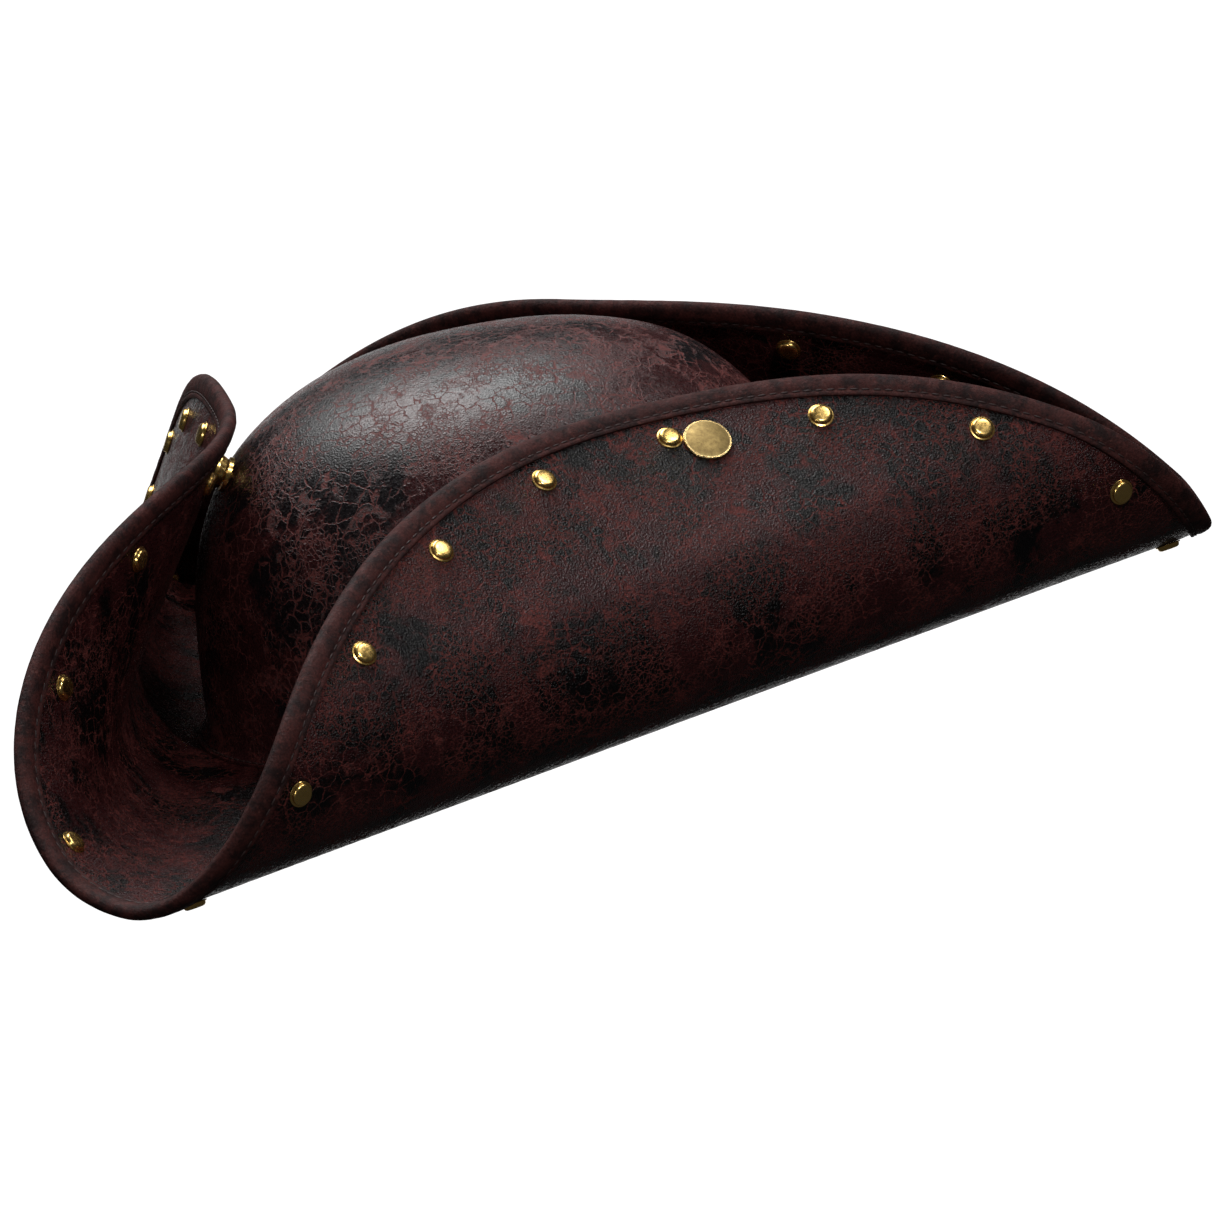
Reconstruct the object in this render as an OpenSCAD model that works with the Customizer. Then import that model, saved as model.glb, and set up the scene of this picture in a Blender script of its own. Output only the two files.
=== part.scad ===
// Tricorn pirate hat: an oval dome crown sewn to a round brim that is folded up
// on three sides and held against the crown by three press studs.
// The origin is the centre of the head opening, on the plane of the brim's underside.
// +Z is up, +X points to the front corner. Each flap is a body that swings outwards
// on its own fold when its press stud is undone.

/* [Crown] */
// Half of the crown's outside length at the brim
crown_half_l = 100; // [95:0.5:106]
// Half of the crown's outside width at the brim
crown_half_w = 85; // [80:0.5:90]
// Height of the crown above the brim
crown_h = 106; // [98:1:116]
// How much narrower the crown gets towards its top, as a fraction
crown_taper = 0.09; // [0.05:0.01:0.13]
// Thickness of the crown's outer leather
crown_t = 1.4; // [1:0.1:2]
// Height of the sweatband
band_h = 32; // [25:1:38]

/* [Brim] */
// Radius of the round brim before it is folded
brim_r = 220; // [212:1:226]
// Thickness of the bonded brim sheet
brim_t = 2.4; // [2:0.1:2.8]
// How far the brim's centre lies behind the crown's centre
brim_back = 7; // [4:0.5:9]
// Height of the line on which a flap swings
hinge_z = 22; // [21:0.5:23]
// Clear space between a flap and the fixed part of the brim
flap_gap = 1.2; // [0.8:0.1:1.6]
// Width of the edge binding on each face
binding_w = 8; // [6:0.5:9]
// Diameter of the wire inside the edge binding
wire_d = 2.4; // [2:0.1:2.6]

/* [Near flap] */
// Fold angle at the middle of the near flap
near_fold = 134; // [128:1:138]
// Arc length of the near flap's rolled fold
near_roll = 72; // [62:1:80]

/* [Far flap] */
// Fold angle at the middle of the far flap
far_fold = 114.5; // [105:0.5:130]
// Arc length of the far flap's rolled fold
far_roll = 24.5; // [20:0.5:60]

/* [Side flap] */
// Fold angle at the middle of the side flap
side_fold = 122; // [110:0.5:130]
// Arc length of the side flap's rolled fold
side_roll = 43.5; // [30:0.5:60]

/* [Fasteners] */
// Number of cap rivets round the brim
rivet_count = 27; // [27]
// Diameter of a rivet cap
rivet_d = 8; // [6:0.5:9]
// Distance of the rivets from the brim's edge
rivet_inset = 15; // [14:0.5:17]
// Diameter of a press stud's outer cap
snap_d = 15; // [12:0.5:16]
// Distance of the press studs from the brim's edge
snap_inset = 19; // [18:0.5:22]

/* [Hidden] */

leather = [0.24, 0.11, 0.11];
binding_leather = [0.33, 0.16, 0.15];
cloth = [0.07, 0.06, 0.06];
gold = [0.85, 0.68, 0.32];
old_brass = [0.66, 0.55, 0.33];

// A flap: [plan direction, fold start, roll length, fold angle, skew of the fold angle,
//          opening of its + half, opening of its - half, place of the press stud along it,
//          extra fold at the press stud]. Angles are degrees, the rest is millimetres.
DIR = 0; START = 1; ROLL = 2; FOLD = 3; SKEW = 4; OPEN_A = 5; OPEN_B = 6; STUD = 7; PINCH = 8;
near_f = [-60, 92, near_roll, near_fold, 2, -36, -36, 34, 4.8];
far_f = [60, 104.5, far_roll, far_fold, -16, 95, -42, 0, 3];
side_f = [177, 93, side_roll, side_fold, 22, -157, 26, 10.5, 0];
FLAPS = [near_f, far_f, side_f];
pinch_w = 55;
least_fold = 3;
probe = 0.5;
end_rise = 5;
end_clear = 1.5;
flap_reach = 62;
first_rivet = -120;

function unit(v) = v / norm(v);
function polar(r, a) = [r * cos(a), r * sin(a)];

// ---- The folded brim -------------------------------------------------------------
// Each flap rolls up round an arc beyond its fold start, then runs on straight.
function fold_angle(f, v) =
    let (k = v / brim_r,
         opening = (k > 0 ? f[OPEN_A] : f[OPEN_B]) * k * k,
         pull = f[PINCH] * exp(-pow((v - f[STUD]) / pinch_w, 2)))
    max(f[FOLD] + f[SKEW] * k + opening + pull, least_fold);
function lift(f, p) =
    let (n = polar(1, f[DIR]), v = p * [-n[1], n[0]],
         s = max(p * n - f[START], 0), b = fold_angle(f, v),
         bend_r = f[ROLL] / (b * PI / 180), turn = b * min(s, f[ROLL]) / f[ROLL],
         past = max(s - f[ROLL], 0),
         out = bend_r * sin(turn) + past * cos(b) - s)
    [n[0] * out, n[1] * out, bend_r * (1 - cos(turn)) + past * sin(b)];
function folded(p) =
    [p[0] - brim_back, p[1], brim_t / 2] + lift(near_f, p) + lift(far_f, p) + lift(side_f, p);
// Unit normal of the brim's upper face, which faces the crown where the brim is folded
function face_up(p) =
    unit(cross(folded(p + [probe, 0]) - folded(p - [probe, 0]),
               folded(p + [0, probe]) - folded(p - [0, probe])));
// A place on the brim: [middle of the sheet, direction towards the edge, upper normal]
function place(r, a) =
    let (up = face_up(polar(r, a)),
         out = folded(polar(r + 2, a)) - folded(polar(r - 2, a)))
    [folded(polar(r, a)), unit(out - up * (out * up)), up];

sheet_r = brim_r - 4.2;
edge_r = brim_r - 4;
function edge_z(a) = folded(polar(edge_r, a))[2];
// Radius along direction a at which the folded brim reaches height z
function radius_at(a, z, lo = 90, hi = sheet_r, n = 16) =
    n == 0 ? (lo + hi) / 2 :
    let (mid = (lo + hi) / 2)
    folded(polar(mid, a))[2] < z ? radius_at(a, z, mid, hi, n - 1) : radius_at(a, z, lo, mid, n - 1);
// Direction, from the middle of flap f towards one side, at which its edge comes down to z
function end_angle(f, side, z, lo = 0, hi = flap_reach, n = 16) =
    n == 0 ? f[DIR] + side * (lo + hi) / 2 :
    let (mid = (lo + hi) / 2)
    edge_z(f[DIR] + side * mid) > z ? end_angle(f, side, z, mid, hi, n - 1)
                                    : end_angle(f, side, z, lo, mid, n - 1);
function flap_from(f) = end_angle(f, -1, hinge_z + end_rise);
function flap_to(f) = end_angle(f, 1, hinge_z + end_rise);
function corner_from(f) = end_angle(f, 1, hinge_z - end_clear);
function corner_to(f) = end_angle(f, -1, hinge_z - end_clear);
function steps(a, b, n) = [for (i = [0:n]) a + (b - a) * i / n];

// ---- Solids swept over the brim --------------------------------------------------
// A sheet of thickness t over columns of places; a ring when closed
module sheet(columns, t, closed) {
    n = len(columns);
    m = len(columns[0]);
    upper = [for (c = columns, q = c) q[0] + q[2] * t / 2];
    lower = [for (c = columns, q = c) q[0] - q[2] * t / 2];
    last = closed ? n - 1 : n - 2;
    low = n * m;
    faces = concat(
        [for (i = [0:last], j = [0:m - 2])
            let (a = i * m + j, b = a + 1, c = ((i + 1) % n) * m + j, d = c + 1)
            each [[a, c, b], [b, c, d], [low + a, low + b, low + c], [low + b, low + d, low + c]]],
        [for (i = [0:last])
            let (a = i * m, c = ((i + 1) % n) * m, e = m - 1)
            each [[a, low + a, c], [c, low + a, low + c],
                  [a + e, c + e, low + a + e], [c + e, low + c + e, low + a + e]]],
        closed ? [] : [for (j = [0:m - 2])
            let (a = j, c = (n - 1) * m + j)
            each [[a, a + 1, low + a], [a + 1, low + a + 1, low + a],
                  [c, low + c, c + 1], [c + 1, low + c, low + c + 1]]]);
    polyhedron(concat(upper, lower), faces, convexity = 8);
}
// A closed outline of [along the sheet, above the sheet] points swept through places
module strip(places, outline) {
    m = len(outline);
    n = len(places);
    points = [for (q = places, o = outline) q[0] + q[1] * o[0] + q[2] * o[1]];
    sides = [for (i = [0:n - 2], j = [0:m - 1])
        let (a = i * m + j, b = i * m + (j + 1) % m, c = a + m, d = b + m)
        each [[a, b, c], [b, d, c]]];
    caps = [[for (j = [0:m - 1]) m - 1 - j], [for (j = [0:m - 1]) (n - 1) * m + j]];
    polyhedron(points, concat(sides, caps), convexity = 8);
}
// Places child solids on the brim with their +Z along the outer face's normal
module on_brim(r, a) {
    q = place(r, a);
    z = -q[2];
    x = q[1];
    y = cross(z, x);
    multmatrix([[x[0], y[0], z[0], q[0][0]], [x[1], y[1], z[1], q[0][1]],
                [x[2], y[2], z[2], q[0][2]], [0, 0, 0, 1]]) children();
}

half_t = brim_t / 2;
bind_t = 0.8;
bind_out = half_t + 0.05 + bind_t;
bind_in = half_t + 0.05;
edge_run = brim_r - edge_r;
// The binding wraps the brim's edge and the wire, open towards the crown
binding_outline = [
    [edge_run - binding_w, bind_out], [edge_run - 2.4, bind_out], [edge_run - 0.9, 1.6],
    [edge_run, 0.7], [edge_run, -0.7], [edge_run - 0.9, -1.6], [edge_run - 2.4, -bind_out],
    [edge_run - binding_w, -bind_out], [edge_run - binding_w, -bind_in],
    [edge_run - 2.4, -bind_in], [edge_run - 1.2, -0.9], [edge_run - 1.2, 0.9],
    [edge_run - 2.4, bind_in], [edge_run - binding_w, bind_in]
];
wire_x = edge_run - 1.3 - wire_d / 2;
wire_outline = [for (k = [0:7])
    [wire_x, 0] + polar(wire_d / 2 - 0.05, -k * 45)];

module edge_binding(a, b, n) color(binding_leather)
    strip([for (p = steps(a, b, n)) place(edge_r, p)], binding_outline);
module edge_wire(a, b, n) color("silver")
    strip([for (p = steps(a, b, n)) place(edge_r, p)], wire_outline);
module flap_sheet(f) color(leather)
    sheet([for (a = steps(flap_from(f), flap_to(f), 34))
              [for (r = steps(radius_at(a, hinge_z + flap_gap), sheet_r, 6)) place(r, a)]],
          brim_t, false);

// ---- Rivets ----------------------------------------------------------------------
rivet_r = brim_r - rivet_inset;
cap_h = 1.7;
function rivet_dir(k) = first_rivet + k * 360 / rivet_count;
function rivet_z(k) = folded(polar(rivet_r, rivet_dir(k)))[2];
function away(a, b) = abs((a - b + 540) % 360 - 180);
function on_flap(f, k) = rivet_z(k) > hinge_z && away(rivet_dir(k), f[DIR]) < flap_reach;
function on_corner(k) = rivet_z(k) <= hinge_z;

// Flat-topped cap with a rounded shoulder and a thin lip at its foot
module rivet_dome(d) rotate_extrude($fn = 32)
    polygon([[0, 0], [d / 2, 0], [d / 2, 0.4], [d / 2 - 0.5, 0.7], [d / 2 - 0.8, 1.2],
             [d / 2 - 1.5, cap_h], [0, cap_h]]);
module rivet_cap(k) on_brim(rivet_r, rivet_dir(k)) {
    translate([0, 0, half_t]) rivet_dome(rivet_d);
    translate([0, 0, -half_t - 0.8]) cylinder(d = 2.8, h = brim_t + 1, $fn = 24);
}
module rivet_back(k) on_brim(rivet_r, rivet_dir(k)) mirror([0, 0, 1])
    translate([0, 0, half_t]) difference() {
        rivet_dome(rivet_d);
        translate([0, 0, -1]) cylinder(d = 2.9, h = 1.9, $fn = 24);
    }
module flap_rivet_caps(f) color(gold)
    for (k = [0:rivet_count - 1]) if (on_flap(f, k)) rivet_cap(k);
module flap_rivet_backs(f) color(gold)
    for (k = [0:rivet_count - 1]) if (on_flap(f, k)) rivet_back(k);

// ---- Press studs -----------------------------------------------------------------
snap_r = brim_r - snap_inset;
socket_h = 3.4;
stud_bore = 7;
stud_d = 4.8;
flange_d = 11;
flange_h = 1.2;
function snap_dir(f) = f[DIR] + asin(f[STUD] / snap_r);

// How far along direction d from point p the crown's surface lies
function crown_section(z) =
    let (t = min(max(z / crown_h, 0), 0.9999))
    (1 - crown_taper * t) * pow(1 - pow(t, crown_pw), 1 / crown_pq);
function outside(q) = let (s = crown_section(q[2] - brim_t))
    norm([q[0] / crown_half_l, q[1] / crown_half_w]) > s;
function crown_depth(p, d, lo = 0, hi = 30, n = 16) =
    n == 0 ? (lo + hi) / 2 :
    let (mid = (lo + hi) / 2)
    outside(p + d * mid) ? crown_depth(p, d, mid, hi, n - 1) : crown_depth(p, d, lo, mid, n - 1);
function snap_depth(f) = let (q = place(snap_r, snap_dir(f))) crown_depth(q[0], q[2]);

module snap_cap(f) color(old_brass) on_brim(snap_r, snap_dir(f)) {
    translate([0, 0, half_t]) rotate_extrude($fn = 48)
        polygon([[0, 0], [snap_d / 2, 0], [snap_d / 2, 0.6], [snap_d / 2 - 0.5, 1.1],
                 [snap_d / 2 - 1.4, 1.3], [snap_d / 2 - 2.6, 2.1], [snap_d / 4, 2.6], [0, 2.8]]);
    translate([0, 0, -half_t - 0.8]) cylinder(d = 3.6, h = brim_t + 1, $fn = 24);
}
module snap_socket(f) color(gold) on_brim(snap_r, snap_dir(f)) mirror([0, 0, 1])
    translate([0, 0, half_t]) difference() {
        rotate_extrude($fn = 48)
            polygon([[0, 0], [snap_d / 2 - 1, 0], [snap_d / 2 - 1, 1], [snap_d / 2 - 2.2, 1.4],
                     [4.6, socket_h], [0, socket_h]]);
        translate([0, 0, 1.2]) cylinder(d = stud_bore, h = socket_h, $fn = 32);
        translate([0, 0, -1]) cylinder(d = 3.7, h = 1.9, $fn = 24);
    }
module snap_stud(f) color(gold) on_brim(snap_r, snap_dir(f)) mirror([0, 0, 1]) {
    depth = snap_depth(f);
    translate([0, 0, depth - flange_h]) cylinder(d = flange_d, h = flange_h, $fn = 48);
    translate([0, 0, half_t + 1.6]) rotate_extrude($fn = 32)
        polygon([[0, 0], [stud_d / 2 - 0.6, 0], [stud_d / 2, 0.6], [stud_d / 2 - 0.3, 1.4],
                 [stud_d / 2 - 0.3, depth - half_t - 1.6 - flange_h], [0, depth - half_t - 1.6 - flange_h]]);
}
// The post runs through the crown's layers to a clinched ring inside
module snap_stud_post(f) on_brim(snap_r, snap_dir(f)) mirror([0, 0, 1]) {
    depth = snap_depth(f);
    translate([0, 0, depth]) cylinder(d = 3, h = 5.4, $fn = 24);
    translate([0, 0, depth + 5.4]) cylinder(d = 9, h = 1, $fn = 32);
}

// ---- Crown -----------------------------------------------------------------------
crown_pw = 3.8;
crown_pq = 2.5;
seat_z = brim_t;
around = 60;
crown_levels = [0, 0.2, 0.4, 0.55, 0.68, 0.78, 0.86, 0.92, 0.96, 0.985];
// A ring of the dome drawn in by d, at fraction t of its height
function dome_ring(d, t) =
    let (s = (1 - crown_taper * t) * pow(1 - pow(t, crown_pw), 1 / crown_pq))
    [for (k = [0:around - 1]) let (a = 360 * k / around)
        [(crown_half_l - d) * s * cos(a), (crown_half_w - d) * s * sin(a), seat_z + (crown_h - d) * t]];
// A dome shell between two insets, closed at its crown and open at the brim
module dome(outer, inner) {
    m = len(crown_levels);
    points = concat(
        [for (t = crown_levels) each dome_ring(outer, t)], [[0, 0, seat_z + crown_h - outer]],
        [for (t = crown_levels) each dome_ring(inner, t)], [[0, 0, seat_z + crown_h - inner]]);
    top = m * around;
    low = top + 1;
    faces = [for (k = [0:around - 1]) let (n = (k + 1) % around) each concat(
        [for (i = [0:m - 2]) let (a = i * around + k, b = i * around + n)
            each [[a, a + around, b], [b, a + around, b + around],
                  [low + a, low + b, low + a + around], [low + b, low + b + around, low + a + around]]],
        [[top - around + k, top, top - around + n],
         [low + top - around + k, low + top - around + n, low + top]],
        [[k, n, low + k], [n, low + n, low + k]])];
    polyhedron(points, faces, convexity = 6);
}
stiff_t = 1.2;
lining_t = 0.8;
layer_gap = 0.15;
stiff_in = crown_t + layer_gap;
lining_in = stiff_in + stiff_t + layer_gap;
band_in = lining_in + lining_t + 3;
band_t = 1.4;
opening_in = band_in + band_t;

module crown_shell() color([0.36, 0.27, 0.27]) dome(0, crown_t);
module crown_stiffener() color([0.8, 0.76, 0.68]) dome(stiff_in, stiff_in + stiff_t);
module crown_lining() color(cloth) dome(lining_in, lining_in + lining_t);
function oval(d) = [for (k = [0:around - 1])
    [(crown_half_l - d) * cos(360 * k / around), (crown_half_w - d) * sin(360 * k / around)]];
module sweatband() color([0.12, 0.08, 0.07])
    translate([0, 0, 0.3]) linear_extrude(band_h) difference() {
        polygon(oval(band_in));
        polygon(oval(opening_in));
    }
// Small ribbon bow where the sweatband's ends meet at the back
module sweatband_bow() color(cloth) {
    bow_z = band_h - 8;
    bow_x = -(crown_half_l - opening_in) + 2.2;
    for (side = [-1, 1]) translate([bow_x, side * 7, bow_z])
        rotate([90, 0, 90]) scale([1, 0.62, 1]) cylinder(d = 13, h = 1.2, center = true, $fn = 32);
    translate([bow_x, 0, bow_z]) rotate([0, 90, 0]) cylinder(d = 5, h = 4, center = true, $fn = 24);
}

// ---- Fixed part of the brim --------------------------------------------------------
// Distance from the brim's centre to the head opening along direction a
opening_l = crown_half_l - band_in + 0.3;
opening_w = crown_half_w - band_in + 0.3;
function opening_r(a) =
    let (e = [cos(a) / opening_l, sin(a) / opening_w], g = brim_back / opening_l,
         aa = e * e, bb = -e[0] * g, cc = g * g - 1)
    (-bb + sqrt(bb * bb - aa * cc)) / aa;
function seat_edge(a) = min(sheet_r, radius_at(a, hinge_z - flap_gap));
module brim_seat() color(leather)
    sheet([for (a = [0:2:358])
              [for (r = steps(opening_r(a), seat_edge(a), 9)) place(r, a)]],
          brim_t, true);
module front_corner_binding() edge_binding(corner_from(near_f), corner_to(far_f), 16);
module far_corner_binding() edge_binding(corner_from(far_f), corner_to(side_f), 8);
module near_corner_binding() edge_binding(corner_from(side_f) - 360, corner_to(near_f), 16);
module corner_wires() {
    edge_wire(corner_from(near_f), corner_to(far_f), 16);
    edge_wire(corner_from(far_f), corner_to(side_f), 8);
    edge_wire(corner_from(side_f) - 360, corner_to(near_f), 16);
}
module corner_rivet_caps() color(gold)
    for (k = [0:rivet_count - 1]) if (on_corner(k)) rivet_cap(k);
module corner_rivet_backs() color(gold)
    for (k = [0:rivet_count - 1]) if (on_corner(k)) rivet_back(k);
module near_snap_stud() snap_stud(near_f);
module far_snap_stud() snap_stud(far_f);
module side_snap_stud() snap_stud(side_f);
module snap_stud_posts() color("silver") for (f = FLAPS) snap_stud_post(f);

// ---- Flaps -------------------------------------------------------------------------
flap_steps = 34;
module near_flap() flap_sheet(near_f);
module near_flap_binding() edge_binding(flap_from(near_f), flap_to(near_f), flap_steps);
module near_flap_wire() edge_wire(flap_from(near_f), flap_to(near_f), flap_steps);
module near_rivet_caps() flap_rivet_caps(near_f);
module near_rivet_backs() flap_rivet_backs(near_f);
module near_snap_cap() snap_cap(near_f);
module near_snap_socket() snap_socket(near_f);
module far_flap() flap_sheet(far_f);
module far_flap_binding() edge_binding(flap_from(far_f), flap_to(far_f), flap_steps);
module far_flap_wire() edge_wire(flap_from(far_f), flap_to(far_f), flap_steps);
module far_rivet_caps() flap_rivet_caps(far_f);
module far_rivet_backs() flap_rivet_backs(far_f);
module far_snap_cap() snap_cap(far_f);
module far_snap_socket() snap_socket(far_f);
module side_flap() flap_sheet(side_f);
module side_flap_binding() edge_binding(flap_from(side_f), flap_to(side_f), flap_steps);
module side_flap_wire() edge_wire(flap_from(side_f), flap_to(side_f), flap_steps);
module side_rivet_caps() flap_rivet_caps(side_f);
module side_rivet_backs() flap_rivet_backs(side_f);
module side_snap_cap() snap_cap(side_f);
module side_snap_socket() snap_socket(side_f);

crown_shell();
crown_stiffener();
crown_lining();
sweatband();
sweatband_bow();
brim_seat();
front_corner_binding();
near_corner_binding();
far_corner_binding();
corner_wires();
corner_rivet_caps();
corner_rivet_backs();
near_snap_stud();
far_snap_stud();
side_snap_stud();
snap_stud_posts();
near_flap();
near_flap_binding();
near_flap_wire();
near_rivet_caps();
near_rivet_backs();
near_snap_cap();
near_snap_socket();
far_flap();
far_flap_binding();
far_flap_wire();
far_rivet_caps();
far_rivet_backs();
far_snap_cap();
far_snap_socket();
side_flap();
side_flap_binding();
side_flap_wire();
side_rivet_caps();
side_rivet_backs();
side_snap_cap();
side_snap_socket();
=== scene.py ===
# %% [markdown]
# # A three-cornered leather hat
# This hat is an oval crown sewn to one round leather brim, and the brim is folded up on three sides.
# The imported model gives the frame: the crown's box, the bodies and the fold hinges. The looks could
# be modelled freely, but then they would drift away from the hinges. So everything here is in metres
# in that frame, with the origin at the centre of the head opening and +Z up.

# %% Load the frame
import math
import bpy
from mathutils import Matrix, Vector, noise


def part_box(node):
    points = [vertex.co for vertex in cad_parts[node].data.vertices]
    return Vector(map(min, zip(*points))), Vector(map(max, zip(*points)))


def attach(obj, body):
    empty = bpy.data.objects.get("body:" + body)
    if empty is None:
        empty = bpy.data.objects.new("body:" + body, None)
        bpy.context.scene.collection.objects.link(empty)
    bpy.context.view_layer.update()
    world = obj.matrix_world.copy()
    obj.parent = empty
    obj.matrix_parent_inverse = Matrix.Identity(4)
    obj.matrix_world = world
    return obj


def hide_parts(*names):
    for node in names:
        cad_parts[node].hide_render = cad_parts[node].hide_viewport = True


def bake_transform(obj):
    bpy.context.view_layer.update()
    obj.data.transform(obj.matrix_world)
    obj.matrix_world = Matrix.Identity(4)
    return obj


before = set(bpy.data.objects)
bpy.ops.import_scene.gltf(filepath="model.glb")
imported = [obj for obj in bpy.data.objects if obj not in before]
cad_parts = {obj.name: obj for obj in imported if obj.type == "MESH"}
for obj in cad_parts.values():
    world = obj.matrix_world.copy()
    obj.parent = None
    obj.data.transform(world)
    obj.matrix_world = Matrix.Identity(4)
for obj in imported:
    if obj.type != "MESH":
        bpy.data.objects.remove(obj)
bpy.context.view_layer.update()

# %% [markdown]
# ## Driving sizes
# A hat like this is cut flat and then folded, so a handful of sizes drives the whole shape: the
# round brim, its folds, and the oval crown. The crown's size could be typed in again, but reading it
# from the frame's own box can't go wrong. The brim's centre lies a little behind the crown's.
#
# Each flap is described by the direction it faces (dir, in degrees round the brim), the distance at
# which its fold starts, the length of leather rolled in the fold, and its fold angle. The angle
# leans with skew, opens towards its two ends by open_a and open_b, and closes by pinch degrees near
# the press stud, which sits stud metres off the flap's middle. Its sector runs between its corners.

# %% Sizes
MM = 0.001
CROWN_LOW, CROWN_HIGH = [Vector(corner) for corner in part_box("crown_shell")]
CROWN_L = CROWN_HIGH.x
CROWN_W = CROWN_HIGH.y
CROWN_H = CROWN_HIGH.z - CROWN_LOW.z
BRIM_R = 220 * MM
BRIM_T = 2.4 * MM
BRIM_BACK = 7 * MM
HINGE_Z = 22 * MM
NEAR = dict(name="near", dir=-60, start=92 * MM, roll=72 * MM, fold=134, skew=2,
            open_a=-36, open_b=-36, stud=34 * MM, pinch=4.8, corners=(-121.5, 0))
FAR = dict(name="far", dir=60, start=104.5 * MM, roll=24.5 * MM, fold=114.5, skew=-16,
           open_a=95, open_b=-42, stud=0, pinch=3, corners=(0, 117))
SIDE = dict(name="side", dir=177, start=93 * MM, roll=43.5 * MM, fold=122, skew=22,
            open_a=-157, open_b=26, stud=10.5 * MM, pinch=0, corners=(117, 238.5))
FLAPS = (NEAR, FAR, SIDE)
ROOT = "crown_and_seat"
print("crown", round(CROWN_L, 4), round(CROWN_W, 4), round(CROWN_H, 4))

# %% [markdown]
# ## The camera
# The hat is seen from its near side, a little above the brim, and leaning to the left. We could lean
# the hat itself, but its pieces have to stay where the frame has them, so the camera is rolled about
# its own line of sight instead. A long lens from far away keeps the two long flaps nearly parallel.

# %% Camera
VIEW_TURN = math.radians(-90.1)
VIEW_RISE = math.radians(14.8)
VIEW_ROLL = math.radians(-11.5)
VIEW_DISTANCE = 4.4
VIEW_LENS = 428
AIM_RIGHT = 30 * MM
AIM_UP = 22 * MM
toward = Vector((math.cos(VIEW_RISE) * math.cos(VIEW_TURN),
                 math.cos(VIEW_RISE) * math.sin(VIEW_TURN), math.sin(VIEW_RISE)))
level = Vector((-math.sin(VIEW_TURN), math.cos(VIEW_TURN), 0))
upright = toward.cross(level)
view_right = level * math.cos(VIEW_ROLL) + upright * math.sin(VIEW_ROLL)
view_up = upright * math.cos(VIEW_ROLL) - level * math.sin(VIEW_ROLL)
aim = Vector((-BRIM_BACK, 0, BRIM_T / 2)) + view_right * AIM_RIGHT + view_up * AIM_UP
facing_view = Matrix((view_right, view_up, toward)).transposed().to_4x4()
bpy.ops.object.camera_add()
camera = bpy.context.active_object
camera.name = "camera"
camera.data.lens = VIEW_LENS
camera.data.clip_end = 50
camera.matrix_world = Matrix.Translation(aim + toward * VIEW_DISTANCE) @ facing_view
bpy.context.scene.camera = camera
print("camera at", [round(c, 3) for c in camera.matrix_world.translation])

# %% [markdown]
# ## Backdrop and light
# The hat stands against pure white. A white room would give that too, but its light would also fall
# on the glossy leather and turn it grey. So a glowing card behind the hat fills the view, and nothing
# else in the studio is bright. A broad soft light above and behind the hat puts the grey sheen on
# the top of the crown. Three smaller lights bring out the grain of the near flap and the gold.

# %% Stage
CARD_GLOW = 1.1
CARD_BEHIND = 1.6
STUDIO_AIR = 0.03


def soft_light(name, place, target, size, power):
    bpy.ops.object.light_add(type="AREA", location=place)
    light = bpy.context.active_object
    light.name = name
    light.data.shape = "DISK"
    light.data.size = size
    light.data.energy = power
    light.rotation_euler = (Vector(target) - Vector(place)).to_track_quat("-Z", "Y").to_euler()
    return light


def glowing_white(name):
    material = bpy.data.materials.new(name)
    material.use_nodes = True
    shader = material.node_tree.nodes["Principled BSDF"]
    shader.inputs["Base Color"].default_value = (0, 0, 0, 1)
    shader.inputs["Emission Color"].default_value = (1, 1, 1, 1)
    shader.inputs["Emission Strength"].default_value = CARD_GLOW
    return material


bpy.ops.mesh.primitive_plane_add(size=1)
backdrop = bpy.context.active_object
backdrop.name = "studio_backdrop"
backdrop.matrix_world = Matrix.Translation(aim - toward * CARD_BEHIND) @ facing_view
backdrop.data.materials.append(glowing_white("studio_white"))
world = bpy.data.worlds.new("studio_air")
bpy.context.scene.world = world
world.use_nodes = True
air = world.node_tree.nodes["Background"]
air.inputs["Color"].default_value = (1, 1, 1, 1)
air.inputs["Strength"].default_value = STUDIO_AIR
lights = [soft_light("top_light", (-0.2, 0.7, 1.6), (0, 0.05, 0.05), size=1.5, power=32),
          soft_light("grain_light", (0.7, -1.2, 1.25), (0.05, -0.1, 0.05), size=0.06, power=8),
          soft_light("fill_light", (-0.5, -1.5, 0.5), (0, 0, 0.05), size=0.2, power=2.2),
          soft_light("gold_light", (1.1, -0.1, 1.5), (0, -0.1, 0.05), size=0.5, power=5)]
bpy.context.scene.view_settings.view_transform = "Standard"
print("lights", {light.name: light.data.energy for light in lights})

# %% [markdown]
# ## The rule of the fold
# Leather can't stretch much, so a flap is a flat sheet that rolls up round an arc and then runs on
# straight. A bend modifier folds one side well, but here three folds meet in the corners, and the
# binding, the stitches and the rivets have to follow them exactly. So we write the fold as a rule:
# for a point on the flat brim we add up what the three folds do to it. Every piece that follows the
# brim is modelled flat and then folded by this one rule. The price is that the leather is squeezed
# or stretched where two folds overlap, most of all in the hidden far corner.

# %% Fold rule
PINCH_W = 55 * MM
LEAST_FOLD = 3


def polar(radius, degrees):
    turn = math.radians(degrees)
    return Vector((radius * math.cos(turn), radius * math.sin(turn)))


def fold_angle(flap, along):
    k = along / BRIM_R
    opening = (flap["open_a"] if k > 0 else flap["open_b"]) * k * k
    pull = flap["pinch"] * math.exp(-((along - flap["stud"]) / PINCH_W) ** 2)
    return math.radians(max(flap["fold"] + flap["skew"] * k + opening + pull, LEAST_FOLD))


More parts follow.
